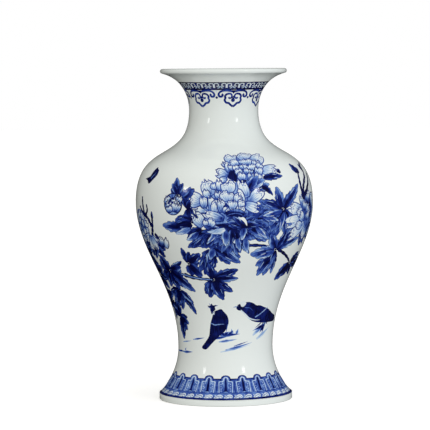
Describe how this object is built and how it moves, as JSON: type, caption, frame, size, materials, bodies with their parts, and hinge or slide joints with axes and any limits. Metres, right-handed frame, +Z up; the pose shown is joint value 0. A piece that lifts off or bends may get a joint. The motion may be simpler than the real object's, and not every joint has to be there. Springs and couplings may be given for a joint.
{
  "type": "porcelain vase",
  "caption": "Tall glazed porcelain vase: everted mouth, slim neck, full belly, narrow waist and flared foot, painted in cobalt blue under the glaze.",
  "frame": {"origin": "middle of the plane that the foot ring stands on", "axes": "+Z up along the vase's axis of revolution, towards the mouth; -Y is the front, where the main peony is painted"},
  "size_m": [0.2468, 0.2468, 0.46],
  "materials": {
    "painted_porcelain": "clear gloss glaze over cobalt blue brush painting on white porcelain",
    "plain_porcelain": "clear gloss glaze on white porcelain, undecorated; the flat of the foot ring is unglazed",
    "luting_slip": "fired porcelain slip, sponged smooth, under a thin glaze"
  },
  "bodies": {
    "root": {"foot_section": "painted_porcelain", "floor_disc": "plain_porcelain", "lower_belly_section": "painted_porcelain", "upper_belly_section": "painted_porcelain", "neck_section": "painted_porcelain", "floor_slip": "luting_slip", "waist_slip": "luting_slip", "belly_slip": "luting_slip", "neck_slip": "luting_slip"}
  },
  "joints": []
}
